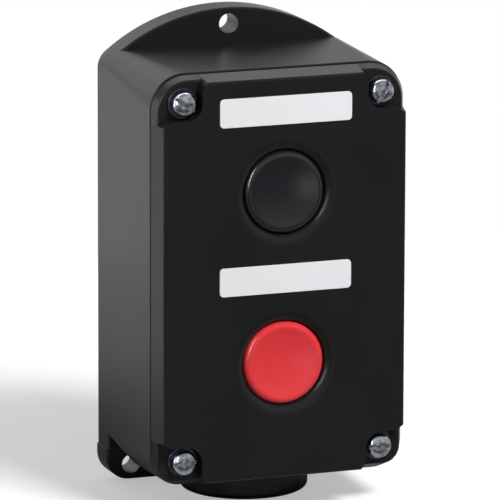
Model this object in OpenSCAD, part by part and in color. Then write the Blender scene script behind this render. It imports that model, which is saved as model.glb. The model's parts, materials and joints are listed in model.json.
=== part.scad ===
// Surface-mounted control station with two pushbuttons, one above the other.
// Every piece is drawn lying on its back: x across, y up the wall, z out from the wall.
// stand() then turns it upright, so +Z is up, the front looks along -Y and the wall is at Y = 0.

/* [Housing] */
// Width of the housing at the joint between base and cover
housing_w = 75.5; // [72:0.5:100]
// Height of the housing at the joint between base and cover
housing_h = 117.6; // [114:0.1:150]
// Depth of the base, from the wall to the middle of the joint
base_depth = 49; // [48:0.5:75]
// Radius of the housing's two upper corners at the joint
corner_r = 10.2; // [8:0.1:12]
// Radius of the housing's two lower corners at the joint
low_joint_r = 8.4; // [8:0.1:12]
// Radius of the base's upper corners at the flange
rear_corner_r = 5.5; // [4:0.5:9]
// Radius of the base's lower corners at the flange
low_corner_r = 3; // [2:0.5:6]
// How far each side wall leans in between the joint and the flange
side_lean = 1; // [0:0.1:1.5]
// How far the top and bottom walls lean in between the joint and the flange
end_lean = 0.3; // [0:0.1:1]
// Height of the base's top above the cover's at the joint
top_step = 0.5; // [0:0.1:0.8]
// Thickness of the base's side walls at the joint
side_wall = 4.5; // [4:0.1:6]
// Thickness of the base's back wall
back_wall = 4.5; // [3:0.1:5]
// Depth of the flat cut off each lower corner of the base at the flange
corner_flat = 2.75; // [1:0.05:3.5]
// Length over which that flat fades out towards the joint
corner_flat_l = 27; // [15:0.5:35]
// Gap shown at the joint between base and cover
joint_gap = 0.4; // [0.2:0.1:0.8]
// Rounding of the two edges at the joint
joint_round = 0.3; // [0.1:0.1:0.6]

/* [Wall flange] */
// Thickness of the flange against the wall
flange_t = 9.3; // [6:0.1:12]
// Width of the flange
flange_w = 73.4; // [70:0.1:98]
// Radius of the ear's dome
dome_r = 55; // [50:0.25:90]
// Height of the ear above the top of the housing
ear_rise = 10.75; // [9:0.05:14]
// Radius where the dome runs into the flange's sides
ear_corner_r = 6.3; // [3:0.1:10]
// Hole in the ear
ear_hole_d = 5.8; // [4.5:0.1:6.5]
// Height of the ear's hole above the top of the housing
ear_hole_rise = 6; // [5:0.1:7]
// Depth of the foot below the bottom of the housing
foot_drop = 8.3; // [7:0.05:14]
// Radius of the foot's two corners
foot_corner_r = 7; // [5:0.5:8]
// Step of the foot beyond each side of the flange
foot_step = 0.4; // [0:0.1:1]
// Holes in the foot
foot_hole_d = 5.5; // [4.5:0.1:6.5]
// Distance between the foot's two holes
foot_hole_pitch = 59.4; // [50:0.2:62]
// Depth of the foot's holes below the bottom of the housing
foot_hole_drop = 3.7; // [3:0.05:4.4]
// Relief for a screw head in front of each foot hole
head_relief_d = 12; // [10:0.5:13]
// Length of that relief out from the flange
head_relief_l = 9; // [4:0.5:14]
// Rounding of the flange's long edges
flange_round = 0.7; // [0.3:0.1:1.2]

/* [Cable entry] */
// Diameter of the round boss under the housing
boss_d = 37; // [34:0.5:38]
// Drop of the boss below the housing
boss_drop = 9.25; // [8:0.05:14]
// Rounding of the boss's lower edge
boss_round = 1.6; // [1:0.1:4]
// Distance of the boss's axis from the wall
boss_axis = 22.3; // [20:0.1:27]
// Diameter of the gland's chamber in the boss
gland_d = 24; // [22:0.5:26]
// Clear bore for the cable through the gland's bush
cable_bore_d = 15; // [12:0.5:16]
// Length of the bush
bush_l = 6; // [4:0.5:8]
// Thickness of the washer between bush and seal
gland_washer_t = 1; // [0.8:0.1:1.5]
// Thickness of the rubber seal ring
gland_seal_t = 3.5; // [3:0.1:5]
// How far the bush sits inside the mouth of the boss
bush_sink = 0.5; // [0.2:0.1:1]

/* [Cover] */
// Depth of the cover, from the middle of the joint to its front
cover_depth = 7.2; // [6.5:0.1:9]
// How far each side of the cover leans in from joint to front
cover_side_lean = 1.55; // [0.5:0.05:2]
// How far the top and bottom of the cover lean in from joint to front
cover_end_lean = 1.3; // [0.5:0.05:2]
// Thickness of the cover's front
cover_wall = 3.2; // [2.6:0.1:3.6]
// Rounding of the cover's front edge
front_round = 0.7; // [0.3:0.1:1]
// Depth of the four corner lands below the front
land_drop = 4.3; // [3.8:0.1:4.6]
// Rounding of the corner lands' outer edge
land_round = 0.5; // [0.2:0.1:0.8]
// How far the lands' outer walls lean in beyond the rest of the cover
land_in = 0.55; // [0:0.05:0.8]
// The same for the bottom walls of the two lower lands
land_low_in = 0.9; // [0:0.05:1.2]
// Outer corner radius of the two lower lands
land_low_r = 5.5; // [4:0.1:6.5]
// Radius of each corner recess about its screw, at the front
land_r = 4.7; // [4.7:0.1:6]
// How much narrower each recess is at its land
land_draft = 0.2; // [0.1:0.05:0.2]
// How much wider each recess is where it meets the edges of the front
land_flare = 1.4; // [0.4:0.1:2]
// Length over which it widens towards those edges
land_flare_l = 2.3; // [1:0.1:3]
// Distance of the cover screws from the sides of the housing
screw_edge_x = 8.3; // [7.5:0.1:10]
// Distance of the cover screws from the top and bottom of the housing
screw_edge_y = 7.4; // [7.3:0.05:10]
// Width of the gasket's groove in the rim
gasket_w = 2.2; // [1.6:0.1:2.4]
// Depth of the gasket's groove in the rim
gasket_groove = 1.6; // [1:0.1:2]

/* [Cover screws] */
// Thread diameter of the cover screws
screw_d = 4; // [3:0.5:4]
// Head diameter of the cover screws
screw_head_d = 7; // [6:0.1:8]
// Head height of the cover screws
screw_head_h = 2.5; // [2:0.1:2.6]
// Thickness of the spring washer under each head
spring_washer_t = 0.9; // [0.8:0.1:1]
// Thickness of the flat washer under each spring washer
flat_washer_t = 0.8; // [0.5:0.1:0.8]
// Diameter of the flat washers
flat_washer_d = 8.6; // [7.8:0.2:8.6]
// Length of the cover screws under the head
screw_l = 12; // [10:1:16]
// Outside diameter of the threaded inserts
insert_d = 6; // [5.6:0.1:6.5]
// Length of the threaded inserts
insert_l = 8; // [6:0.5:10]

/* [Buttons] */
// Distance between the two buttons
button_pitch = 49.2; // [44:0.2:52]
// Diameter of each button
button_d = 24; // [20:0.5:29]
// Rounding of the button's edge
button_round = 1.8; // [0.8:0.1:2.2]
// Depth of the finger dish in the button's face
button_dish = 0.8; // [0.2:0.1:1.2]
// Depth of the button's face below the front of the cover
button_recess = 0.45; // [0.2:0.05:2]
// Height of the button's skirt and face together
button_h = 8; // [7:0.1:9]
// Clear gap between button and well
well_gap = 1.6; // [1:0.1:2.4]
// Rounding of the well's lip
well_lip = 1.8; // [0.4:0.1:2]
// Wall of the well's tube behind the cover
well_wall = 2.2; // [1.8:0.1:2.6]
// Full travel of the buttons
travel = 4; // [3:0.1:4.8]
// Diameter of the button's stem
stem_d = 6; // [5:0.1:6.5]

/* [Labels] */
// Width of each label strip
label_w = 39.4; // [30:0.2:42]
// Height of each label strip
label_h = 8.2; // [6:0.1:9]
// Thickness of each label strip
label_t = 1; // [0.8:0.1:1.5]
// Corner radius of each label strip
label_r = 1.2; // [0.6:0.1:2]
// Depth of the pocket for a label strip
label_pocket = 0.7; // [0.4:0.1:0.9]
// Height of the upper label above the centre of the upper button
upper_label_rise = 23.8; // [21:0.1:24]
// Height of the lower label above the centre of the lower button
lower_label_rise = 24.7; // [21:0.1:26]

/* [Contact blocks] */
// Width of the block's terminal plate
block_plate_w = 51; // [48:1:56]
// Thickness of the block's terminal plate
block_plate_t = 6; // [5:0.5:7]
// Width of the block's body
block_body_w = 32; // [30:1:34]
// Height of the block
block_h = 20; // [16:1:22]
// Thickness of the contact strips
strip_t = 1; // [0.8:0.1:1.2]
// Width of the contact strips
strip_w = 6; // [5:0.5:7]
// Thread diameter of the terminal screws
terminal_d = 3.5; // [3:0.5:3.5]

/* [Hidden] */
$fn = 48;

// Clearances
seat_gap = 0.05;
slide_gap = 0.05;
soft_gap = 0.3;
rib_gap = 0.3;
rib_t = 1.8;
label_gap = 0.1;
stop_gap = 1;
touch_gap = 0.1;
cut = 1;
slice = 0.01;
thread_tip_gap = 0.5;

// Facets of the larger and smaller round shapes
large_fn = 96;
small_fn = 24;
corner_steps = 12;
dome_steps = 40;
dome_step = 1;

// Depths measured out from the wall
rim_z = base_depth - joint_gap / 2;
cover_back_z = base_depth + joint_gap / 2;
front_z = base_depth + cover_depth;
land_z = front_z - land_drop;
front_inner_z = front_z - cover_wall;
head_z = land_z + flat_washer_t + spring_washer_t;
button_face_z = front_z - button_recess;
button_rear_z = button_face_z - button_h;
floor_z = button_rear_z - travel - stop_gap;
well_floor = 3;
floor_back_z = floor_z - well_floor;
stem_seal_t = 2.3;
stem_seal_w = 4.2;
block_z = floor_back_z - stem_seal_t;

// Places across the front
screw_x = housing_w / 2 - screw_edge_x;
screw_y = housing_h / 2 - screw_edge_y;
button_y = button_pitch / 2;
upper_label_y = button_y + upper_label_rise;
lower_label_y = -button_y + lower_label_rise;
bottom_y = -housing_h / 2;
dome_y = housing_h / 2 + ear_rise - dome_r;
cavity_w = housing_w - 2 * side_wall;
cavity_h = housing_h - 2 * side_wall;
wall_corner_r = (corner_r + low_joint_r) / 2;
cavity_r = wall_corner_r - side_wall;
pillar_r = 5;
gasket_inset = side_wall / 2;

// Button, well and stem
button_r = button_d / 2;
button_shell = 1.8;
button_face_t = 2.5;
well_r = button_r + well_gap;
sleeve_wall = 4;
sleeve_r = stem_d / 2 + sleeve_wall;
spring_seat_z = button_face_z - button_dish - button_face_t;
sleeve_top_z = spring_seat_z - travel - stop_gap;
spring_wire = 1.2;
spring_turns = 4.5;
spring_r = sleeve_r + spring_wire;

// Contact block, from its front face back towards the wall
block_ear_t = 3;
block_ear_w = 10;
block_ear_r = 13.5;
block_ear_end = 3.5;
block_screw_d = 3;
block_screw_head_d = 5.5;
block_screw_head_h = 2;
block_screw_gap = 0.1;
block_pilot_web = 0.6;
block_ear_rim = 1.5;
block_top_wall = 2.5;
chamber_w = 18;
chamber_h = 9;
plunger_w = 8;
plunger_web = 1;
plunger_tail = 2.5;
socket_gap = 0.01;
plunger_h = chamber_h - 4 * slide_gap;
bridge_w = 16;
bridge_h = 5;
rivet_r = 1.6;
rivet_h = 0.6;
tip_h = 0.8;
tip_x = 6.2;
strip_in_x = tip_x - rivet_r;
washer_t = 0.8;
washer_rim = 1.45;
washer_r = terminal_d / 2 + washer_rim;
terminal_head_rim = 1.15;
terminal_head_r = terminal_d / 2 + terminal_head_rim;
terminal_head_h = 2.2;
terminal_grip = 6;
screw_slot_w = 1;
pan_bulge = 0.75;
pan_side = 0.35;
nc_spring_l = 3.65;
no_spring_l = 3.1;
window_web = 1.2;
contact_spring_r = 1.8;
contact_spring_wire = 0.6;
contact_spring_turns = 3.5;
terminal_end = 4.5;
strip_end = 0.5;
plate_back_z = block_z - block_plate_t;
chamber_top_z = block_z - block_top_wall;
plunger_top_z = chamber_top_z - touch_gap;
nc_tip_z = plate_back_z - strip_t - tip_h;
nc_bar_z = nc_tip_z - slide_gap - rivet_h - strip_t;
nc_window_z = nc_bar_z - nc_spring_l;
no_window_top_z = nc_window_z - window_web;
no_bar_z = no_window_top_z - no_spring_l - strip_t;
no_tip_z = no_bar_z - rivet_h - touch_gap - travel;
body_back_z = no_tip_z - tip_h;
plunger_back_z = no_bar_z - touch_gap - plunger_tail;
nc_window_top_z = nc_bar_z + strip_t + touch_gap;
socket_z = nc_window_top_z + plunger_web;
nc_screw_x = block_plate_w / 2 - terminal_end;
no_screw_x = (chamber_w + block_body_w) / 4;

// Colours
black_moulding = "#26262a";
black_rubber = "#1c1c1c";
black_button = "#2f2f36";
red_button = "#d5383c";
white_label = "#eceef0";
zinc = "#c3c7cb";
brass = "#c9a24b";
copper = "#b87a4c";
block_moulding = "#3a332c";
plunger_moulding = "#d8d4c6";

// General shapes
module stand() {
    rotate([90, 0, 0])
        children();
}

module rounded_rect(w, h, r) {
    square([w - 2 * r, h], center = true);
    square([w, h - 2 * r], center = true);
    for (sx = [-1, 1], sy = [-1, 1])
        translate([sx * (w / 2 - r), sy * (h / 2 - r)])
            circle(r);
}

// One ring of points round the housing, whose walls have leaned in by the given amounts there
function housing_ring(z, lean_x, lean_top, lean_low, top_r, low_r) = [
    for (corner = [0:3], i = [0:corner_steps])
        let (a = 90 * (corner + i / corner_steps),
            sx = corner % 3 == 0 ? 1 : -1,
            sy = corner < 2 ? 1 : -1,
            lean = corner < 2 ? lean_top : lean_low,
            r = corner < 2 ? top_r : low_r)
            [sx * (housing_w / 2 - lean_x - r) + r * cos(a),
                sy * (housing_h / 2 - lean - r) + r * sin(a), z]];

// Closed solid through a stack of rings that all have the same number of points
module loft(rings) {
    n = len(rings[0]);
    last = len(rings) - 1;
    walls = [for (i = [0:last - 1], j = [0:n - 1])
        let (k = (j + 1) % n, low = i * n, high = (i + 1) * n)
            each [[low + j, high + j, high + k], [low + j, high + k, low + k]]];
    low_cap = [for (j = [0:n - 1]) j];
    high_cap = [for (j = [n - 1:-1:0]) last * n + j];
    polyhedron([for (one = rings) each one], concat([low_cap, high_cap], walls), convexity = 4);
}

module ring(r_out, r_in, z, h) {
    translate([0, 0, z])
        difference() {
            cylinder(r = r_out, h = h);
            translate([0, 0, -cut])
                cylinder(r = r_in, h = h + 2 * cut);
        }
}

module at_corners(x, y) {
    for (sx = [-1, 1], sy = [-1, 1])
        translate([sx * x, sy * y, 0])
            children();
}

// Slotted pan head screw along z: head on top of z = 0, shank below it
module slotted_screw(head_r, head_h, shank_r, shank_l, slot_angle) {
    round_steps = 8;
    side_h = pan_side * head_h;
    difference() {
        rotate_extrude()
            polygon(concat(
                [[0, -shank_l], [shank_r, -shank_l], [shank_r, 0], [head_r, 0]],
                [for (i = [0:round_steps - 1])
                    let (a = 90 * i / round_steps)
                        [head_r * pow(cos(a), pan_bulge), side_h + (head_h - side_h) * sin(a)]],
                [[0, head_h]]));
        rotate([0, 0, slot_angle])
            translate([-head_r - cut, -screw_slot_w / 2, head_h / 2])
                cube([2 * (head_r + cut), screw_slot_w, head_h]);
    }
}

// Coil spring along z, as one swept tube with closed ends
module coil_spring(mean_r, wire_d, length, turns, steps, sides) {
    rings = turns * steps;
    rise = length - wire_d;
    points = [for (i = [0:rings])
        let (a = 360 * i / steps, z = wire_d / 2 + rise * i / rings)
            for (j = [0:sides - 1])
                let (b = 360 * j / sides, r = mean_r + wire_d / 2 * cos(b))
                    [r * cos(a), r * sin(a), z + wire_d / 2 * sin(b)]];
    walls = [for (i = [0:rings - 1], j = [0:sides - 1])
        let (k = (j + 1) % sides)
            [i * sides + j, (i + 1) * sides + j, (i + 1) * sides + k, i * sides + k]];
    start_cap = [for (j = [0:sides - 1]) j];
    end_cap = [for (j = [sides - 1:-1:0]) rings * sides + j];
    polyhedron(points, concat([start_cap, end_cap], walls), convexity = 8);
}

// Points along an arc, from one angle to another
function arc(x, y, r, from, to, steps) = [
    for (i = [0:steps])
        let (a = from + (to - from) * i / steps)
            [x + r * cos(a), y + r * sin(a)]];

// Outline of a corner recess: round about the upper right screw, flaring out to the edges of the front
function land_outline(r) =
    let (edge_x = housing_w / 2 - cover_side_lean,
        edge_y = housing_h / 2 - cover_end_lean,
        far_x = housing_w / 2 + cut,
        far_y = housing_h / 2 + cut)
        concat(
            [[screw_x - r - land_flare, far_y], [screw_x - r - land_flare, edge_y],
                [screw_x - r, edge_y - land_flare_l]],
            arc(screw_x, screw_y, r, 180, 270, corner_steps),
            [[edge_x - land_flare_l, screw_y - r], [edge_x, screw_y - r - land_flare],
                [far_x, screw_y - r - land_flare], [far_x, far_y]]);

module four_lands(r) {
    for (sx = [0, 1], sy = [0, 1])
        mirror([sx, 0])
            mirror([0, sy])
                polygon(land_outline(r));
}

// Column cut out at one corner, whose inner wall leans
module land_recess() {
    low_z = cover_back_z - cut;
    slope = land_draft / land_drop;
    low_r = land_r - slope * (front_z - low_z);
    loft([
        [for (p = land_outline(low_r)) [p[0], p[1], low_z]],
        [for (p = land_outline(land_r + slope * cut)) [p[0], p[1], front_z + cut]],
    ]);
}

// Straight sides with the ear's dome on top
function ear_outline(inset) =
    let (half = flange_w / 2,
        side_x = half - ear_corner_r,
        side_y = dome_y + sqrt(pow(dome_r - ear_corner_r, 2) - pow(side_x, 2)),
        turn = atan2(side_y - dome_y, side_x),
        r = ear_corner_r - inset)
        concat([[half - inset, bottom_y]],
            arc(side_x, side_y, r, 0, turn, corner_steps),
            arc(0, dome_y, dome_r - inset, turn + dome_step, 180 - turn - dome_step, dome_steps),
            arc(-side_x, side_y, r, 180 - turn, 180, corner_steps),
            [[inset - half, bottom_y]]);

// Foot with its two rounded corners, up into the housing
function foot_outline(inset) =
    let (half = flange_w / 2 + foot_step,
        r = foot_corner_r - inset,
        corner_x = half - foot_corner_r,
        corner_y = bottom_y - foot_drop + foot_corner_r,
        top_y = bottom_y + foot_step + flange_round)
        concat([[half - inset, top_y], [inset - half, top_y]],
            arc(-corner_x, corner_y, r, 180, 270, corner_steps),
            arc(corner_x, corner_y, r, 270, 360, corner_steps));

// Insets and heights that round a plate's two long edges
function plate_levels(steps = 3) = concat(
    [for (i = [0:steps])
        let (a = 90 * i / steps)
            [flange_round * (1 - sin(a)), flange_round * (1 - cos(a))]],
    [for (i = [0:steps])
        let (a = 90 * i / steps)
            [flange_round * (1 - cos(a)), flange_t - flange_round * (1 - sin(a))]]);

// Flange against the wall: the ear above, the foot below
module wall_flange() {
    loft([for (level = plate_levels())
        [for (p = ear_outline(level[0])) [p[0], p[1], level[1]]]]);
    loft([for (level = plate_levels())
        [for (p = foot_outline(level[0])) [p[0], p[1], level[1]]]]);
}

// The base's box with leaning walls, rounded corners and a small round at the joint
module base_shell() {
    inside_z = flange_t / 2;
    lean_k = (rim_z - inside_z) / (rim_z - flange_t);
    difference() {
        loft([
            housing_ring(inside_z, side_lean * lean_k, end_lean * lean_k - top_step, end_lean * lean_k,
                rear_corner_r, low_corner_r),
            housing_ring(rim_z - joint_round, 0, -top_step, 0, corner_r, low_joint_r),
            housing_ring(rim_z, joint_round, joint_round - top_step, joint_round,
                corner_r - joint_round, low_joint_r - joint_round),
        ]);
        for (side = [0, 1])
            mirror([side, 0, 0])
                lower_corner_flat();
    }
}

// Leaning cut that flattens the lower right corner towards the flange
module lower_corner_flat() {
    reach = 4 * corner_r;
    lean = atan(corner_flat / corner_flat_l);
    mid = low_corner_r * (1 - sqrt(0.5));
    x = housing_w / 2 - side_lean - mid;
    y = bottom_y + end_lean + mid;
    translate([x, y, flange_t])
        rotate([0, 0, -45])
            translate([-corner_flat, 0, 0])
                rotate([0, lean, 0])
                    translate([0, -reach / 2, -flange_t])
                        cube([reach, reach, flange_t + 2 * corner_flat_l]);
}

// Round boss under the housing, its axis along the height
module boss_solid() {
    round_steps = 8;
    boss_r = boss_d / 2;
    low = bottom_y - boss_drop;
    top = bottom_y + side_wall / 2;
    translate([0, 0, boss_axis])
        rotate([-90, 0, 0])
            rotate_extrude($fn = large_fn)
                polygon(concat(
                    [[0, low]],
                    [for (i = [0:round_steps])
                        let (a = 90 * i / round_steps)
                            [boss_r - boss_round + boss_round * sin(a),
                                low + boss_round - boss_round * cos(a)]],
                    [[boss_r, top], [0, top]]));
}

module boss_cuts() {
    low = bottom_y - boss_drop;
    gland_depth = bush_sink + bush_l + gland_washer_t + gland_seal_t;
    translate([0, 0, boss_axis])
        rotate([-90, 0, 0]) {
            translate([0, 0, low - cut])
                cylinder(d = gland_d, h = gland_depth + cut);
            translate([0, 0, low])
                cylinder(d = cable_bore_d + 2 * touch_gap, h = boss_drop + side_wall + cut);
        }
}

// Pieces of the base
module base_housing() {
    color(black_moulding)
        stand()
            difference() {
                union() {
                    difference() {
                        union() {
                            base_shell();
                            wall_flange();
                        }
                        translate([0, 0, back_wall])
                            linear_extrude(rim_z)
                                rounded_rect(cavity_w, cavity_h, cavity_r);
                    }
                    translate([0, 0, back_wall - cut])
                        linear_extrude(rim_z - back_wall + cut)
                            at_corners(screw_x, screw_y)
                                circle(pillar_r);
                    boss_solid();
                }
                boss_cuts();
                base_rim_cuts();
                flange_holes();
            }
}

module base_rim_cuts() {
    groove = gasket_groove + cut;
    outer_in = gasket_inset - gasket_w / 2;
    inner_in = gasket_inset + gasket_w / 2;
    core_gap = 0.5;
    core_l = screw_l + 2;
    translate([0, 0, rim_z - gasket_groove])
        linear_extrude(groove)
            difference() {
                rounded_rect(housing_w - 2 * outer_in, housing_h - 2 * outer_in, wall_corner_r - outer_in);
                rounded_rect(housing_w - 2 * inner_in, housing_h - 2 * inner_in, wall_corner_r - inner_in);
            }
    at_corners(screw_x, screw_y) {
        translate([0, 0, rim_z - insert_l])
            cylinder(d = insert_d + 2 * seat_gap, h = insert_l + cut);
        translate([0, 0, rim_z - core_l])
            cylinder(d = screw_d + 2 * core_gap, h = core_l);
    }
}

module flange_holes() {
    translate([0, housing_h / 2 + ear_hole_rise, -cut])
        cylinder(d = ear_hole_d, h = flange_t + 2 * cut);
    for (sx = [-1, 1])
        translate([sx * foot_hole_pitch / 2, bottom_y - foot_hole_drop, 0]) {
            translate([0, 0, -cut])
                cylinder(d = foot_hole_d, h = flange_t + 2 * cut);
            translate([0, 0, flange_t])
                cylinder(d = head_relief_d, h = head_relief_l);
        }
}

module thread_inserts() {
    color(brass)
        stand()
            at_corners(screw_x, screw_y)
                ring(insert_d / 2, screw_d / 2 + seat_gap, rim_z - insert_l, insert_l);
}

module cover_gasket() {
    outer_in = gasket_inset - gasket_w / 2 + seat_gap;
    inner_in = gasket_inset + gasket_w / 2 - seat_gap;
    color(black_rubber)
        stand()
            translate([0, 0, rim_z - gasket_groove])
                linear_extrude(gasket_groove + joint_gap)
                    difference() {
                        rounded_rect(housing_w - 2 * outer_in, housing_h - 2 * outer_in, wall_corner_r - outer_in);
                        rounded_rect(housing_w - 2 * inner_in, housing_h - 2 * inner_in, wall_corner_r - inner_in);
                    }
}

// Pieces of the cable gland
module along_entry(rise) {
    translate([0, 0, boss_axis])
        rotate([-90, 0, 0])
            translate([0, 0, bottom_y - boss_drop + rise])
                children();
}

module gland_bush() {
    slot_w = 2.5;
    slot_deep = 2;
    lip = 1;
    color(black_moulding)
        stand()
            along_entry(bush_sink)
                difference() {
                    ring(gland_d / 2 - seat_gap, cable_bore_d / 2, 0, bush_l);
                    for (a = [0, 90])
                        rotate([0, 0, a])
                            difference() {
                                translate([-gland_d / 2, -slot_w / 2, -cut])
                                    cube([gland_d, slot_w, slot_deep + cut]);
                                translate([0, 0, -2 * cut])
                                    cylinder(d = cable_bore_d + 2 * lip, h = slot_deep + 4 * cut);
                            }
                }
}

module gland_washer() {
    bore_gap = 0.5;
    color(zinc)
        stand()
            along_entry(bush_sink + bush_l)
                ring(gland_d / 2 - seat_gap, cable_bore_d / 2 + bore_gap, 0, gland_washer_t);
}

module gland_seal() {
    color(black_rubber)
        stand()
            along_entry(bush_sink + bush_l + gland_washer_t)
                ring(gland_d / 2 - 2 * seat_gap, cable_bore_d / 2 + touch_gap, 0, gland_seal_t);
}

// Pieces of the cover
// The cover's outer form up to a height, its top edge rounded and its walls leaning in a little more
module cover_form(top_z, edge_round, more_in = 0, more_low_in = 0, less_low_r = 0) {
    edge_steps = 4;
    loft(concat(
        [housing_ring(cover_back_z, joint_round, joint_round, joint_round,
                corner_r - joint_round, low_joint_r - joint_round),
            housing_ring(cover_back_z + joint_round, 0, 0, 0, corner_r, low_joint_r)],
        [for (i = [0:edge_steps])
            let (a = 90 * i / edge_steps,
                z = top_z - edge_round + edge_round * sin(a),
                share = (z - base_depth) / cover_depth,
                edge_in = edge_round * (1 - cos(a)),
                side_in = cover_side_lean * share + edge_in + more_in,
                end_in = cover_end_lean * share + edge_in,
                most_in = max(side_in, end_in + more_in))
                housing_ring(z, side_in, end_in + more_in, end_in + more_low_in,
                    corner_r - most_in, low_joint_r - most_in - less_low_r)]));
}

// The raised front, cut back to the lower lands at its four corners
module cover_body() {
    difference() {
        cover_form(front_z, front_round);
        for (sx = [0, 1], sy = [0, 1])
            mirror([sx, 0, 0])
                mirror([0, sy, 0])
                    land_recess();
    }
    intersection() {
        cover_form(land_z, land_round, land_in, land_low_in, low_joint_r - land_low_r - land_in);
        linear_extrude(front_z)
            four_lands(land_r);
    }
}

module well_cut() {
    round_steps = 6;
    rotate_extrude($fn = large_fn)
        polygon(concat(
            [[0, floor_z], [well_r, floor_z]],
            [for (i = [0:round_steps])
                let (a = 90 * i / round_steps)
                    [well_r + well_lip - well_lip * cos(a), front_z - well_lip + well_lip * sin(a)]],
            [[well_r + well_lip, front_z + cut], [0, front_z + cut]]));
}

module at_buttons() {
    for (sy = [-1, 1])
        translate([0, sy * button_y, 0])
            children();
}

module cover_pocket() {
    inset = 2 * (rib_gap + rib_t);
    pad_wall = 2.2;
    pocket_r = 3;
    translate([0, 0, cover_back_z - cut])
        linear_extrude(front_inner_z - cover_back_z + cut)
            difference() {
                rounded_rect(cavity_w - inset, cavity_h - inset, pocket_r);
                four_lands(land_r + pad_wall);
            }
}

// Ribs behind the cover that drop inside the base's walls between the pillars
module cover_ribs() {
    rib_h = 1.8;
    pillar_gap = 2;
    rib_x = cavity_w / 2 - rib_gap - rib_t / 2;
    rib_y = cavity_h / 2 - rib_gap - rib_t / 2;
    side_len = 2 * (screw_y - pillar_r - pillar_gap);
    end_len = 2 * (screw_x - pillar_r - pillar_gap);
    for (s = [-1, 1]) {
        translate([s * rib_x - rib_t / 2, -side_len / 2, cover_back_z - rib_h])
            cube([rib_t, side_len, rib_h + cut]);
        translate([-end_len / 2, s * rib_y - rib_t / 2, cover_back_z - rib_h])
            cube([end_len, rib_t, rib_h + cut]);
    }
}

module front_cover() {
    color(black_moulding)
        stand()
            difference() {
                union() {
                    difference() {
                        cover_body();
                        cover_pocket();
                    }
                    cover_ribs();
                    at_buttons()
                        well_tube();
                }
                at_buttons()
                    well_hollow();
                cover_outer_cuts();
            }
}

module well_tube() {
    translate([0, 0, floor_back_z])
        cylinder(r = well_r + well_wall, h = front_inner_z - floor_back_z + cut, $fn = large_fn);
    for (s = [-1, 1])
        translate([0, s * block_ear_r, block_z])
            cylinder(r = block_ear_end, h = floor_z - block_z);
}

module well_hollow() {
    difference() {
        well_cut();
        translate([0, 0, floor_z - cut])
            cylinder(r = sleeve_r, h = sleeve_top_z - floor_z + cut);
    }
    translate([0, 0, floor_back_z - cut])
        cylinder(d = stem_d + 2 * slide_gap, h = front_z - floor_back_z);
    for (s = [-1, 1])
        translate([0, s * block_ear_r, block_z - cut])
            cylinder(d = block_screw_d + 2 * seat_gap, h = floor_z - block_z + cut - block_pilot_web);
}

module cover_outer_cuts() {
    hole_gap = 0.25;
    at_corners(screw_x, screw_y)
        translate([0, 0, cover_back_z - cut])
            cylinder(d = screw_d + 2 * hole_gap, h = cover_depth);
    for (y = [upper_label_y, lower_label_y])
        translate([0, y, front_z - label_pocket])
            linear_extrude(label_pocket + cut)
                rounded_rect(label_w + 2 * label_gap, label_h + 2 * label_gap, label_r + label_gap);
}

module cover_screws() {
    angles = [[4, -35], [0, 62]];
    color(zinc)
        stand()
            for (ix = [0, 1], iy = [0, 1])
                translate([(2 * ix - 1) * screw_x, (2 * iy - 1) * screw_y, head_z])
                    slotted_screw(screw_head_d / 2, screw_head_h, screw_d / 2, screw_l,
                        slot_angle = angles[ix][iy]);
}

// Split spring washers under the screws' heads
module spring_washers() {
    washer_w = 1.3;
    split = 0.6;
    bore_r = screw_d / 2 + touch_gap;
    color(zinc)
        stand()
            at_corners(screw_x, screw_y)
                difference() {
                    ring(bore_r + washer_w, bore_r, head_z - spring_washer_t, spring_washer_t);
                    translate([0, -split / 2, land_z])
                        cube([bore_r + washer_w + cut, split, head_z - land_z + cut]);
                }
}

module flat_washers() {
    color(zinc)
        stand()
            at_corners(screw_x, screw_y)
                ring(flat_washer_d / 2, screw_d / 2 + touch_gap, land_z, flat_washer_t);
}

module label_strip(y) {
    color(white_label)
        stand()
            translate([0, y, front_z - label_pocket])
                linear_extrude(label_t)
                    rounded_rect(label_w, label_h, label_r);
}

module label_upper() {
    label_strip(upper_label_y);
}

module label_lower() {
    label_strip(lower_label_y);
}

// Pieces of one button, about its own axis
module button_cap(tint) {
    steps = 8;
    edge_r = button_r - button_round;
    edge_z = button_face_z - button_round;
    dish_r = (edge_r * edge_r + button_dish * button_dish) / (2 * button_dish);
    skirt_in = button_r - button_shell;
    color(tint)
        rotate_extrude($fn = large_fn)
            polygon(concat(
                [[0, socket_z], [stem_d / 2, socket_z], [stem_d / 2, spring_seat_z],
                    [skirt_in, spring_seat_z], [skirt_in, button_rear_z], [button_r, button_rear_z]],
                [for (i = [0:steps])
                    let (a = 90 * i / steps)
                        [edge_r + button_round * cos(a), edge_z + button_round * sin(a)]],
                [for (i = [1:steps])
                    let (r = edge_r * (1 - i / steps))
                        [r, button_face_z - button_dish + dish_r - sqrt(dish_r * dish_r - r * r)]]));
}

module stem_seal() {
    color(black_rubber)
        ring(stem_d / 2 + soft_gap + stem_seal_w, stem_d / 2 + soft_gap, block_z, stem_seal_t);
}

module return_spring() {
    color(zinc)
        translate([0, 0, floor_z])
            coil_spring(spring_r, spring_wire, spring_seat_z - floor_z, spring_turns, steps = 20, sides = 8);
}

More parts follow.
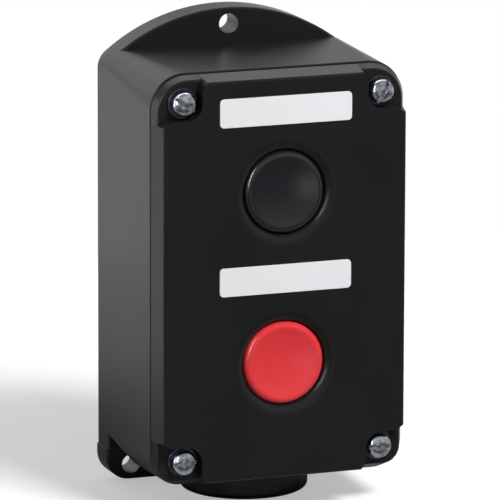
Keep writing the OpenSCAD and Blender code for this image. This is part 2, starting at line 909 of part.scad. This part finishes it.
module contact_block() {
    color(block_moulding)
        difference() {
            union() {
                translate([-block_plate_w / 2, -block_h / 2, plate_back_z])
                    cube([block_plate_w, block_h, block_plate_t]);
                translate([-block_body_w / 2, -block_h / 2, body_back_z])
                    cube([block_body_w, block_h, plate_back_z - body_back_z + cut]);
                translate([0, 0, block_z - block_ear_t])
                    linear_extrude(block_ear_t)
                        block_ears();
            }
            translate([-chamber_w / 2, -chamber_h / 2, body_back_z - cut])
                cube([chamber_w, chamber_h, chamber_top_z - body_back_z + cut]);
            translate([0, 0, block_z - block_top_wall - cut])
                cylinder(d = stem_d + 4 * slide_gap, h = block_top_wall + 2 * cut);
            for (s = [-1, 1]) {
                translate([0, s * block_ear_r, block_z - block_ear_t - cut])
                    cylinder(d = block_screw_d + 2 * block_screw_gap, h = block_ear_t + 2 * cut);
                translate([s * nc_screw_x, 0, plate_back_z - cut])
                    cylinder(d = terminal_d + 2 * seat_gap, h = terminal_grip - strip_t + cut);
                translate([s * no_screw_x, 0, body_back_z - cut])
                    cylinder(d = terminal_d + 2 * seat_gap, h = terminal_grip + cut);
            }
            translate([-block_body_w / 2 - cut, -strip_w / 2 - seat_gap, plate_back_z - strip_t - seat_gap])
                cube([block_body_w + 2 * cut, strip_w + 2 * seat_gap, strip_t + seat_gap]);
        }
}

module block_ears() {
    for (s = [-1, 1])
        translate([0, s * block_ear_r])
            circle(block_ear_end + block_ear_rim);
    square([block_ear_w, 2 * block_ear_r], center = true);
}

module plunger() {
    color(plunger_moulding)
        difference() {
            translate([-plunger_w / 2, -plunger_h / 2, plunger_back_z])
                cube([plunger_w, plunger_h, plunger_top_z - plunger_back_z]);
            translate([0, 0, socket_z - slide_gap])
                cylinder(d = stem_d + 2 * socket_gap, h = plunger_top_z);
            translate([-plunger_w, -bridge_h / 2 - touch_gap, nc_window_z])
                cube([2 * plunger_w, bridge_h + 2 * touch_gap, nc_window_top_z - nc_window_z]);
            translate([-plunger_w, -bridge_h / 2 - touch_gap, no_bar_z - touch_gap])
                cube([2 * plunger_w, bridge_h + 2 * touch_gap, no_window_top_z - no_bar_z + touch_gap]);
        }
}

// Contact bridge: a bar with one rivet at each end, on the given side of it
module contact_bridge(z, side) {
    rivet_z = side > 0 ? z + strip_t - slice : z - rivet_h;
    color(copper) {
        translate([-bridge_w / 2, -bridge_h / 2, z])
            cube([bridge_w, bridge_h, strip_t]);
        for (s = [-1, 1])
            translate([s * tip_x, 0, rivet_z])
                cylinder(r = rivet_r, h = rivet_h + slice, $fn = small_fn);
    }
}

module contact_spring(length) {
    coil_spring(contact_spring_r, contact_spring_wire, length, contact_spring_turns, steps = 12, sides = 6);
}

module contact_springs() {
    color(zinc) {
        translate([0, 0, nc_window_z])
            contact_spring(nc_spring_l);
        translate([0, 0, no_bar_z + strip_t])
            contact_spring(no_spring_l);
    }
}

// Fixed contact: a strip with its tip, from in_x to out_x on one side
module fixed_contact(out_x, z, tip_z, screw_x0) {
    difference() {
        union() {
            translate([strip_in_x, -strip_w / 2, z])
                cube([out_x - strip_in_x, strip_w, strip_t]);
            translate([tip_x, 0, tip_z])
                cylinder(r = rivet_r, h = tip_h + slice, $fn = small_fn);
        }
        translate([screw_x0, 0, z - cut])
            cylinder(d = terminal_d + 2 * seat_gap, h = strip_t + 2 * cut);
    }
}

module fixed_contacts() {
    color(copper)
        for (side = [0, 1])
            mirror([side, 0, 0]) {
                fixed_contact(block_plate_w / 2 - strip_end, plate_back_z - strip_t, nc_tip_z, nc_screw_x);
                fixed_contact(block_body_w / 2 - strip_end, body_back_z - strip_t, body_back_z - slice, no_screw_x);
            }
}

// Terminal screw with its square clamp washer, heads towards the wall
module terminal_screw(x, z) {
    translate([x, 0, z])
        mirror([0, 0, 1]) {
            difference() {
                translate([-washer_r, -washer_r, 0])
                    cube([2 * washer_r, 2 * washer_r, washer_t]);
                translate([0, 0, -cut])
                    cylinder(d = terminal_d + 2 * seat_gap, h = washer_t + 2 * cut);
            }
            translate([0, 0, washer_t])
                slotted_screw(terminal_head_r, terminal_head_h, terminal_d / 2,
                    washer_t + terminal_grip - thread_tip_gap, slot_angle = 30);
        }
}

module terminal_screws() {
    color(zinc)
        for (s = [-1, 1]) {
            terminal_screw(s * nc_screw_x, plate_back_z - strip_t);
            terminal_screw(s * no_screw_x, body_back_z - strip_t);
        }
}

module block_screws() {
    color(zinc)
        for (s = [-1, 1])
            translate([0, s * block_ear_r, block_z - block_ear_t])
                mirror([0, 0, 1])
                    slotted_screw(block_screw_head_d / 2, block_screw_head_h, block_screw_d / 2,
                        block_ear_t + floor_z - block_z - 2 * thread_tip_gap, slot_angle = 0);
}

module at_upper() {
    stand()
        translate([0, button_y, 0])
            children();
}

module at_lower() {
    stand()
        translate([0, -button_y, 0])
            children();
}

module upper_button() {
    at_upper()
        button_cap(black_button);
}

module upper_stem_seal() {
    at_upper()
        stem_seal();
}

module upper_return_spring() {
    at_upper()
        return_spring();
}

module upper_contact_block() {
    at_upper()
        contact_block();
}

module upper_plunger() {
    at_upper()
        plunger();
}

module upper_nc_bridge() {
    at_upper()
        contact_bridge(nc_bar_z, 1);
}

module upper_no_bridge() {
    at_upper()
        contact_bridge(no_bar_z, -1);
}

module upper_contact_springs() {
    at_upper()
        contact_springs();
}

module upper_fixed_contacts() {
    at_upper()
        fixed_contacts();
}

module upper_terminal_screws() {
    at_upper()
        terminal_screws();
}

module upper_block_screws() {
    at_upper()
        block_screws();
}

module lower_button() {
    at_lower()
        button_cap(red_button);
}

module lower_stem_seal() {
    at_lower()
        stem_seal();
}

module lower_return_spring() {
    at_lower()
        return_spring();
}

module lower_contact_block() {
    at_lower()
        contact_block();
}

module lower_plunger() {
    at_lower()
        plunger();
}

module lower_nc_bridge() {
    at_lower()
        contact_bridge(nc_bar_z, 1);
}

module lower_no_bridge() {
    at_lower()
        contact_bridge(no_bar_z, -1);
}

module lower_contact_springs() {
    at_lower()
        contact_springs();
}

module lower_fixed_contacts() {
    at_lower()
        fixed_contacts();
}

module lower_terminal_screws() {
    at_lower()
        terminal_screws();
}

module lower_block_screws() {
    at_lower()
        block_screws();
}

base_housing();
thread_inserts();
cover_gasket();
front_cover();
cover_screws();
spring_washers();
flat_washers();
label_upper();
label_lower();
gland_bush();
gland_washer();
gland_seal();
upper_button();
upper_stem_seal();
upper_return_spring();
upper_contact_block();
upper_plunger();
upper_nc_bridge();
upper_no_bridge();
upper_contact_springs();
upper_fixed_contacts();
upper_terminal_screws();
upper_block_screws();
lower_button();
lower_stem_seal();
lower_return_spring();
lower_contact_block();
lower_plunger();
lower_nc_bridge();
lower_no_bridge();
lower_contact_springs();
lower_fixed_contacts();
lower_terminal_screws();
lower_block_screws();
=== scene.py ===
"""Looks of a surface-mounted control station with a black and a red pushbutton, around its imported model."""
import bmesh
import bpy
import json
import math
from mathutils import Matrix, Vector

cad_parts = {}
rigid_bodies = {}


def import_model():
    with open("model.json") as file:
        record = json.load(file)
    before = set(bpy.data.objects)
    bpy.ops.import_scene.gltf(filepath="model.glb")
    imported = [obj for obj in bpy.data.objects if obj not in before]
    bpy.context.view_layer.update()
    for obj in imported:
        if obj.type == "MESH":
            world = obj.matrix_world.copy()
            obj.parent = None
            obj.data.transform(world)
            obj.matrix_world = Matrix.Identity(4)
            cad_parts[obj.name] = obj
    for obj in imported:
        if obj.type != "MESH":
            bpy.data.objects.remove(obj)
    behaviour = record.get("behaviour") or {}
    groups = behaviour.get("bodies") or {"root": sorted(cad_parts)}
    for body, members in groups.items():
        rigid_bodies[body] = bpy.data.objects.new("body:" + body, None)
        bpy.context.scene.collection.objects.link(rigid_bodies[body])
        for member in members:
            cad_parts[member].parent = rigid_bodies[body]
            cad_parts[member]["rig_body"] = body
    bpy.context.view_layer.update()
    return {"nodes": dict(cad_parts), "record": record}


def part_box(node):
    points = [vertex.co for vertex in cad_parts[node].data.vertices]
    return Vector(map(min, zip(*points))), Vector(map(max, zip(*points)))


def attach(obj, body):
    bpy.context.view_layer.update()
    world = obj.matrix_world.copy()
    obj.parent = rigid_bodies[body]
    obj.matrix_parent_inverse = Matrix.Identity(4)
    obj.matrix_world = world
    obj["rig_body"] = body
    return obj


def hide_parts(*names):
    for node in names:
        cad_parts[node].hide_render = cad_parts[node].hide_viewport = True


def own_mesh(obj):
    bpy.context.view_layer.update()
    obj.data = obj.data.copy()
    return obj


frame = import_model()
nodes = frame["nodes"]
subparts = frame["record"]["subparts"]
scene = bpy.context.scene

MM = 0.001
BUTTONS = ("upper_button", "lower_button")
# Well round each button: gap and lip of the cover's solid, and the running clearance at the finished cap
WELL_GAP = 1.6 * MM
WELL_LIP = 1.8 * MM
WELL_CLEARANCE = 0.15 * MM
# How far a point of the well's wall may lie inside the wall's circle
WELL_TOLERANCE = 0.05 * MM
# Button: rounding and dish of the cap, thickness of its face and skirt, its depth, and the stem's radius
CAP_ROUND = 1.8 * MM
CAP_DISH = 0.8 * MM
CAP_FACE = 2.5 * MM
CAP_SHELL = 1.8 * MM
CAP_DEPTH = 8 * MM
STEM_R = 3 * MM
# Steps of the turned button: along its rounding, across its dish and round its axis
ARC_STEPS = 10
DISH_STEPS = 16
TURN_STEPS = 128
# Rounding of the outer edges of the cover and of the other outer pieces
COVER_ROUNDING = 0.25 * MM
ROUNDING = {
    "base_housing": 0.3 * MM,
    "label_upper": 0.1 * MM,
    "label_lower": 0.1 * MM,
    "cover_screws": 0.06 * MM,
    "spring_washers": 0.1 * MM,
    "flat_washers": 0.1 * MM,
    "gland_bush": 0.2 * MM,
}
# Edges that turn by more than this stay crisp, or are rounded
SHARP_ANGLE = math.radians(32)
# Faces that differ by less than this are one flat face
FLAT_ANGLE = math.radians(0.6)
# Points nearer than this are one point
SAME_POINT = 1e-6

# Size of the soft blotches in a moulding's tone, and on a handled metal
MOTTLE = 25 * MM
BLOTCH = 1.6 * MM
# Grain of a turned or plated metal: spacing and depth of the finest marks
METAL_GRAIN = 0.5 * MM
METAL_GRAIN_DEPTH = 0.012 * MM
# How far the roughness strays: both ways on mouldings, down in a metal's bright spots and up in its dull ones
MOULDED_STRAY = 0.03
METAL_BRIGHT = 0.08
METAL_DULL = 0.1

# Camera of the photograph's view: a long lens from the front left, a little above
EYE = Vector((-605.3, -1666.3, 389.4)) * MM
AIM = Vector((-10.642, -56.2, 9.032)) * MM
ROLL = math.radians(0.161)
SENSOR_MM = 36
IMAGE_PX = 500
FOCAL_PX = 6270.87

# Studio: strength that matt surfaces get from all round, and white for the camera
FILL = 0.3
WHITE = 1.0
# Strengths of the soft panels that glossy surfaces mirror: the room in front of the part, the wall behind it,
# the panel that slants above the wall, and the ceiling
ROOM_BELOW = 0.18
ROOM_ABOVE = 0.85
WALL_BELOW = 1.0
WALL_LEFT = 1.5
WALL_RIGHT = 0.5
SLANTED_PANEL = 1.6
CEILING_FRONT = 0.45
CEILING_BACK = 1.6
# Table: its four edges, how far the part stands above it, and its paint
TABLE_LEFT = -0.16
TABLE_RIGHT = 0.3
TABLE_FRONT = -0.07
TABLE_BACK = 0.27
TABLE_GAP = 0.3 * MM
TABLE_GREY = (0.65, 0.65, 0.65, 1)
# Glow that makes the table pale for the camera alone, and a painted glow that it takes on between two
# distances from the part, which paints light on the far table and leaves painted shade near the part
CAMERA_GLOW = 0.44
FAR_GLOW = 0.16
FADE_START = 0.1
FADE_END = 0.25


def linear(hex_colour):
    """sRGB hex to linear RGBA"""
    channels = [int(hex_colour[i:i + 2], 16) / 255 for i in (1, 3, 5)]
    return [c / 12.92 if c <= 0.04045 else ((c + 0.055) / 1.055) ** 2.4 for c in channels] + [1.0]


def add_node(tree, kind, inputs, stops=(), **settings):
    """One node; an input is a value or another node's socket, and a ramp has stops of position and colour"""
    node = tree.nodes.new(kind)
    for key, value in settings.items():
        setattr(node, key, value)
    for key, value in inputs.items():
        if isinstance(value, bpy.types.NodeSocket):
            tree.links.new(value, node.inputs[key])
        else:
            node.inputs[key].default_value = value
    for stop, (position, hex_colour) in enumerate(stops):
        node.color_ramp.elements[stop].position = position
        node.color_ramp.elements[stop].color = linear(hex_colour)
    return node


def new_material(name):
    """An empty material, its node tree and the object coordinates that its patterns follow"""
    material = bpy.data.materials.new(name)
    material.use_nodes = True
    tree = material.node_tree
    tree.nodes.clear()
    return material, tree, add_node(tree, "ShaderNodeTexCoord", {}).outputs["Object"]


def moulded(name, dark, light, roughness, grain_mm, grain_depth_mm, specular):
    """Moulded plastic or rubber: a slightly uneven tone and sheen, and a fine grain from the mould's wall"""
    material, tree, place = new_material(name)
    mottle = add_node(tree, "ShaderNodeTexNoise", {"Vector": place, "Scale": 1 / MOTTLE, "Detail": 3})
    tone = add_node(tree, "ShaderNodeValToRGB", {
        "Fac": mottle.outputs["Fac"]}, stops=((0.3, dark), (0.7, light)))
    sheen = add_node(tree, "ShaderNodeMapRange", {
        "Value": mottle.outputs["Fac"], "To Min": roughness - MOULDED_STRAY,
        "To Max": roughness + MOULDED_STRAY})
    grain = add_node(tree, "ShaderNodeTexNoise", {"Vector": place, "Scale": 1 / (grain_mm * MM), "Detail": 2})
    bump = add_node(tree, "ShaderNodeBump", {"Height": grain.outputs["Fac"], "Distance": grain_depth_mm * MM})
    shader = add_node(tree, "ShaderNodeBsdfPrincipled", {
        "Base Color": tone.outputs["Color"], "Roughness": sheen.outputs["Result"],
        "Normal": bump.outputs["Normal"], "Specular IOR Level": specular, "IOR": 1.5})
    add_node(tree, "ShaderNodeOutputMaterial", {"Surface": shader.outputs["BSDF"]})
    return material


def plated(name, dark, light, roughness):
    """Turned or plated metal: handled, with uneven brightness and fine marks"""
    material, tree, place = new_material(name)
    blotch = add_node(tree, "ShaderNodeTexNoise", {"Vector": place, "Scale": 1 / BLOTCH, "Detail": 4})
    tone = add_node(tree, "ShaderNodeValToRGB", {
        "Fac": blotch.outputs["Fac"]}, stops=((0.38, dark), (0.6, light)))
    dulling = add_node(tree, "ShaderNodeMapRange", {
        "Value": blotch.outputs["Fac"], "To Min": roughness - METAL_BRIGHT, "To Max": roughness + METAL_DULL})
    marks = add_node(tree, "ShaderNodeTexNoise", {"Vector": place, "Scale": 1 / METAL_GRAIN, "Detail": 2})
    bump = add_node(tree, "ShaderNodeBump", {"Height": marks.outputs["Fac"], "Distance": METAL_GRAIN_DEPTH})
    shader = add_node(tree, "ShaderNodeBsdfPrincipled", {
        "Base Color": tone.outputs["Color"], "Roughness": dulling.outputs["Result"],
        "Normal": bump.outputs["Normal"], "Metallic": 1})
    add_node(tree, "ShaderNodeOutputMaterial", {"Surface": shader.outputs["BSDF"]})
    return material


# Housing, cover and gland bush: black ABS from a spark-eroded mould, satin, greying where light grazes it
housing_abs = moulded("black_ABS_spark_eroded", "#171718", "#1b1b1c",
                      roughness=0.3, grain_mm=0.55, grain_depth_mm=0.008, specular=0.17)
# Contact blocks: brown phenolic moulding, dull and warm
phenolic = moulded("brown_phenolic_moulding", "#332b24", "#40372f",
                   roughness=0.5, grain_mm=0.6, grain_depth_mm=0.01, specular=0.4)
# Plungers: unpigmented nylon, a waxy ivory
nylon = moulded("natural_nylon", "#cfcaba", "#dcd8ca",
                roughness=0.4, grain_mm=0.6, grain_depth_mm=0.008, specular=0.5)
# Seals and gasket: nitrile rubber, matt and nearly black
rubber = moulded("black_nitrile_rubber", "#161616", "#1c1c1c",
                 roughness=0.75, grain_mm=0.4, grain_depth_mm=0.015, specular=0.3)
# Buttons: ABS from a polished mould, smooth enough to show the lamps on the rim
black_button = moulded("black_ABS_polished", "#17171b", "#1b1b20",
                       roughness=0.2, grain_mm=1.2, grain_depth_mm=0.0015, specular=0.4)
red_button = moulded("red_ABS_polished", "#db3338", "#e23d41",
                     roughness=0.23, grain_mm=1.2, grain_depth_mm=0.002, specular=0.35)
# Label strips: white laminate, even and half matt
laminate = moulded("white_laminate", "#e6e8ea", "#ecedf0",
                   roughness=0.4, grain_mm=0.8, grain_depth_mm=0.004, specular=0.4)
# Screws, springs and the gland's washer: zinc plate, grey with bright and dull patches
zinc_plate = plated("zinc_plated_steel", "#767a80", "#abafb5", roughness=0.2)
# Cover screws' washers: a dim steel-blue metal tone, a painted reflection of the bluish sheen round the
# screws
washer_painted_reflection = plated("dim_blue_washer_painted_reflection", "#363a42", "#4c515a", roughness=0.36)
# Threaded inserts: turned brass, yellow and satin
brass = plated("turned_brass", "#b78f3e", "#cfa957", roughness=0.3)
# Contact strips and bridges: stamped copper alloy, reddish and satin
copper = plated("stamped_copper_alloy", "#a96c40", "#c5865a", roughness=0.32)

# The cover screws' washers have the slot of the zinc pieces, and a dim blue tone of their own, a painted
# reflection
COVER_WASHERS = ("spring_washers", "flat_washers")
FINISH = {
    "black_moulding": housing_abs,
    "black_rubber": rubber,
    "black_button": black_button,
    "red_button": red_button,
    "white_label": laminate,
    "zinc": zinc_plate,
    "brass": brass,
    "copper": copper,
    "block_moulding": phenolic,
    "plunger_moulding": nylon,
}
for part in subparts:
    mesh = nodes[part["node"]].data
    mesh.materials.clear()
    mesh.materials.append(washer_painted_reflection if part["node"] in COVER_WASHERS else FINISH[part["material_slot"]])


def photo_camera():
    """The camera at the photograph's place"""
    data = bpy.data.cameras.new("camera")
    data.sensor_width = SENSOR_MM
    data.lens = FOCAL_PX * SENSOR_MM / IMAGE_PX
    camera = bpy.data.objects.new("camera", data)
    scene.collection.objects.link(camera)
    ahead = (AIM - EYE).normalized()
    right = ahead.cross(Vector((0, 0, 1))).normalized()
    up = right.cross(ahead)
    right_rolled = right * math.cos(ROLL) + up * math.sin(ROLL)
    up_rolled = up * math.cos(ROLL) - right * math.sin(ROLL)
    turn = Matrix((right_rolled, up_rolled, -ahead)).transposed()
    camera.matrix_world = Matrix.Translation(EYE) @ turn.to_4x4()
    scene.camera = camera


def studio_world():
    """White for the camera, an even fill for matt surfaces, and soft panels for gloss to mirror"""
    world = bpy.data.worlds.new("studio")
    scene.world = world
    world.use_nodes = True
    tree = world.node_tree
    tree.nodes.clear()
    sky = add_node(tree, "ShaderNodeTexCoord", {}).outputs["Generated"]
    way = add_node(tree, "ShaderNodeSeparateXYZ", {"Vector": sky}).outputs
    # The dim room in front of the part: darkest below, lighter above
    room = add_node(tree, "ShaderNodeMapRange", {
        "Value": way["Z"], "From Min": -0.2, "From Max": 0.1, "To Min": ROOM_BELOW, "To Max": ROOM_ABOVE})
    # The bright wall behind the part: a flag dims its right half above the horizon
    flag = add_node(tree, "ShaderNodeMapRange", {
        "Value": way["X"], "From Min": -0.1, "From Max": 0.2, "To Min": WALL_LEFT, "To Max": WALL_RIGHT})
    wall = add_node(tree, "ShaderNodeMapRange", {
        "Value": way["Z"], "From Min": 0, "From Max": 0.12, "To Min": WALL_BELOW,
        "To Max": flag.outputs["Result"]})
    # A panel slants from the wall's top towards the ceiling
    panel = add_node(tree, "ShaderNodeMapRange", {
        "Value": way["Z"], "From Min": 0.35, "From Max": 0.5, "To Min": wall.outputs["Result"],
        "To Max": SLANTED_PANEL})
    round_about = add_node(tree, "ShaderNodeMapRange", {
        "Value": way["Y"], "From Min": -0.8, "From Max": 0.2, "To Min": room.outputs["Result"],
        "To Max": panel.outputs["Result"]})
    # The ceiling is dim in front of the part and bright behind it
    overhead = add_node(tree, "ShaderNodeMapRange", {
        "Value": way["Y"], "From Min": -0.2, "From Max": 0.2, "To Min": CEILING_FRONT,
        "To Max": CEILING_BACK})
    ceiling = add_node(tree, "ShaderNodeMapRange", {
        "Value": way["Z"], "From Min": 0.6, "From Max": 0.8, "To Min": round_about.outputs["Result"],
        "To Max": overhead.outputs["Result"]})
    fill = add_node(tree, "ShaderNodeBackground", {"Strength": FILL})
    panels = add_node(tree, "ShaderNodeBackground", {"Strength": ceiling.outputs["Result"]})
    white = add_node(tree, "ShaderNodeBackground", {"Strength": WHITE})
    for background in (fill, panels, white):
        background.inputs["Color"].default_value = (1, 1, 1, 1)
    path = add_node(tree, "ShaderNodeLightPath", {}).outputs
    mirrored = add_node(tree, "ShaderNodeMath", {
        0: path["Is Glossy Ray"], 1: path["Is Transmission Ray"]}, operation="ADD", use_clamp=True)
    lit = add_node(tree, "ShaderNodeMixShader", {
        "Fac": mirrored.outputs["Value"], 1: fill.outputs["Background"], 2: panels.outputs["Background"]})
    seen = add_node(tree, "ShaderNodeMixShader", {
        "Fac": path["Is Camera Ray"], 1: lit.outputs["Shader"], 2: white.outputs["Background"]})
    add_node(tree, "ShaderNodeOutputWorld", {"Surface": seen.outputs["Shader"]})


def soft_light(name, place, width, height, power, lean=0):
    """A softbox, in metres and watts, that faces the part and leans by some degrees about its own axis"""
    data = bpy.data.lights.new(name, "AREA")
    data.shape = "RECTANGLE"
    data.size = width
    data.size_y = height
    data.energy = power
    lamp = bpy.data.objects.new(name, data)
    scene.collection.objects.link(lamp)
    lamp.location = place
    lamp.rotation_euler = (-Vector(place)).to_track_quat("-Z", "Y").to_euler()
    lamp.rotation_euler.rotate_axis("Z", math.radians(lean))
    return lamp


def studio_lamps():
    """A polarised key that lights and casts the shadow without a glare, and lamps that give glare only"""
    key = soft_light("key_softbox", (0.4, -1.1, 1.22), width=0.45, height=0.45, power=28)
    key.visible_glossy = False
    glare_lamps = (
        # Crescent on the left of each cap's rim
        soft_light("left_strip", (-0.92, -0.84, 0.44), width=0.1, height=1.0, power=12, lean=24),
        # Soft patch on the black button's dished face
        soft_light("front_lamp", (0.22, -1.56, -0.36), width=0.26, height=0.26, power=0.34),
        # Sheen on the left band of the cover's corner lands and on their leaning walls
        soft_light("side_panel", (-1.45, 0.14, 0.1), width=0.8, height=1.0, power=11),
        # Sheen on the slanted strip along the cover's left edge
        soft_light("left_panel", (-1.15, 0.98, -0.36), width=0.3, height=0.5, power=0.8),
        # Sheen along the top band of the corner lands
        soft_light("top_panel", (0.05, 0.33, 1.15), width=1.4, height=0.35, power=6),
    )
    for lamp in glare_lamps:
        lamp.visible_diffuse = False


def table_top():
    """A grey matt table, pale to the camera, with painted light that brightens it to white away from the part
    and painted shade near the part, where it keeps its shadow
    """
    form = bmesh.new()
    bmesh.ops.create_grid(form, x_segments=1, y_segments=1, size=1)
    half_size = ((TABLE_RIGHT - TABLE_LEFT) / 2, (TABLE_BACK - TABLE_FRONT) / 2, 1)
    bmesh.ops.scale(form, verts=form.verts, vec=half_size)
    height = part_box("base_housing")[0].z - TABLE_GAP
    centre = ((TABLE_RIGHT + TABLE_LEFT) / 2, (TABLE_BACK + TABLE_FRONT) / 2, height)
    bmesh.ops.translate(form, verts=form.verts, vec=centre)
    mesh = bpy.data.meshes.new("table_top")
    form.to_mesh(mesh)
    form.free()
    table = bpy.data.objects.new("table_top", mesh)
    scene.collection.objects.link(table)
    paint, tree, place = new_material("pale_matt_paint")
    matt = add_node(tree, "ShaderNodeBsdfDiffuse", {"Color": TABLE_GREY})
    away = add_node(tree, "ShaderNodeVectorMath", {"Vector": place}, operation="LENGTH")
    # Painted light: the glow grows with distance from the part, so the table stays darker near the part as
    # painted shade
    painted_glow_away = add_node(tree, "ShaderNodeMapRange", {
        "Value": away.outputs["Value"], "From Min": FADE_START, "From Max": FADE_END, "To Min": 0,
        "To Max": FAR_GLOW})
    # The housing's left wall mirrors the paint without the camera's glow, which shades it towards the foot
    path = add_node(tree, "ShaderNodeLightPath", {}).outputs
    seen = add_node(tree, "ShaderNodeMath", {
        0: path["Is Camera Ray"], 1: CAMERA_GLOW, 2: painted_glow_away.outputs["Result"]}, operation="MULTIPLY_ADD")
    glow = add_node(tree, "ShaderNodeEmission", {"Color": (1, 1, 1, 1), "Strength": seen.outputs["Value"]})
    both = add_node(tree, "ShaderNodeAddShader", {0: matt.outputs["BSDF"], 1: glow.outputs["Emission"]})
    add_node(tree, "ShaderNodeOutputMaterial", {"Surface": both.outputs["Shader"]})
    mesh.materials.append(paint)


def copy_of(node):
    """A bmesh of a node's own shape, with its doubles and coplanar triangles merged"""
    form = bmesh.new()
    form.from_mesh(nodes[node].data)
    bmesh.ops.remove_doubles(form, verts=form.verts, dist=SAME_POINT)
    bmesh.ops.dissolve_limit(form, angle_limit=FLAT_ANGLE, verts=form.verts, edges=form.edges)
    return form


def button_axis(node):
    """A point on a button's axis, and the cap's radius"""
    low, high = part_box(node)
    return Vector(((low.x + high.x) / 2, 0, (low.z + high.z) / 2)), (high.x - low.x) / 2


def draw_in_wells(form):
    """Draws the well walls in to a running clearance, which leaves a broad dished lip round each button"""
    for button in BUTTONS:
        centre, cap_r = button_axis(button)
        wall_r = cap_r + WELL_GAP
        lip_r = wall_r + WELL_LIP
        near_r = cap_r + WELL_CLEARANCE
        for point in form.verts:
            out = Vector((point.co.x - centre.x, 0, point.co.z - centre.z))
            if wall_r - WELL_TOLERANCE < out.length < lip_r:
                share = (out.length - wall_r) / (lip_r - wall_r)
                moved = out.normalized() * (near_r + share * (lip_r - near_r))
                point.co = Vector((centre.x + moved.x, point.co.y, centre.z + moved.z))


def button_form(node):
    """One turned button: rounded cap with a dished face, hollow skirt and stem"""
    low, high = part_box(node)
    centre, cap_r = button_axis(node)
    face = low.y
    seat = face + CAP_DISH + CAP_FACE
    rear = face + CAP_DEPTH
    skirt_r = cap_r - CAP_SHELL
    edge_r = cap_r - CAP_ROUND
    dish_r = (edge_r ** 2 + CAP_DISH ** 2) / (2 * CAP_DISH)
    profile = [(0, high.y), (STEM_R, high.y), (STEM_R, seat), (skirt_r, seat), (skirt_r, rear), (cap_r, rear)]
    for step in range(ARC_STEPS + 1):
        turn = math.pi / 2 * step / ARC_STEPS
        profile.append((edge_r + CAP_ROUND * math.cos(turn), face + CAP_ROUND * (1 - math.sin(turn))))
    for step in range(1, DISH_STEPS + 1):
        r = edge_r * (1 - step / DISH_STEPS)
        profile.append((r, face + CAP_DISH - dish_r + math.sqrt(dish_r ** 2 - r ** 2)))
    form = bmesh.new()
    outline = [form.verts.new((centre.x + r, y, centre.z)) for r, y in profile]
    edges = [form.edges.new(pair) for pair in zip(outline, outline[1:])]
    bmesh.ops.spin(form, geom=outline + edges, axis=(0, 1, 0), cent=centre, dvec=(0, 0, 0), angle=math.tau,
                   steps=TURN_STEPS, use_merge=True)
    bmesh.ops.remove_doubles(form, verts=form.verts, dist=SAME_POINT)
    bmesh.ops.recalc_face_normals(form, faces=form.faces)
    return form


def finished(node, form, rounding=0):
    """The shape in form as the finished piece of a node, with its outer edges rounded"""
    form.normal_update()
    if rounding:
        outer = [edge for edge in form.edges if len(edge.link_faces) == 2 and edge.is_convex
                 and edge.calc_face_angle(0) > SHARP_ANGLE]
        bmesh.ops.bevel(form, geom=outer, offset=rounding, offset_type="OFFSET", affect="EDGES",
                        segments=3, profile=0.5, material=-1, clamp_overlap=True)
    mesh = bpy.data.meshes.new("finished_" + node)
    form.to_mesh(mesh)
    form.free()
    mesh.materials.append(nodes[node].data.materials[0])
    piece = bpy.data.objects.new("finished_" + node, mesh)
    scene.collection.objects.link(piece)
    mesh.shade_smooth()
    mesh.set_sharp_from_angle(angle=SHARP_ANGLE)
    flats = piece.modifiers.new("flats_stay_flat", "WEIGHTED_NORMAL")
    flats.keep_sharp = True
    flats.weight = 100
    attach(piece, nodes[node]["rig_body"])
    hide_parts(node)
    return piece


def return_spring(node):
    """A button's return spring as a finished piece, with a mesh of its own"""
    spring = finished(node, copy_of(node))
    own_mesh(spring)


scene.view_settings.view_transform = "Standard"
photo_camera()
studio_world()
studio_lamps()
table_top()

cover_form = copy_of("front_cover")
draw_in_wells(cover_form)
finished("front_cover", cover_form, COVER_ROUNDING)
for button in BUTTONS:
    finished(button, button_form(button))
for node, rounding in ROUNDING.items():
    finished(node, copy_of(node), rounding)
return_spring("upper_return_spring")
return_spring("lower_return_spring")
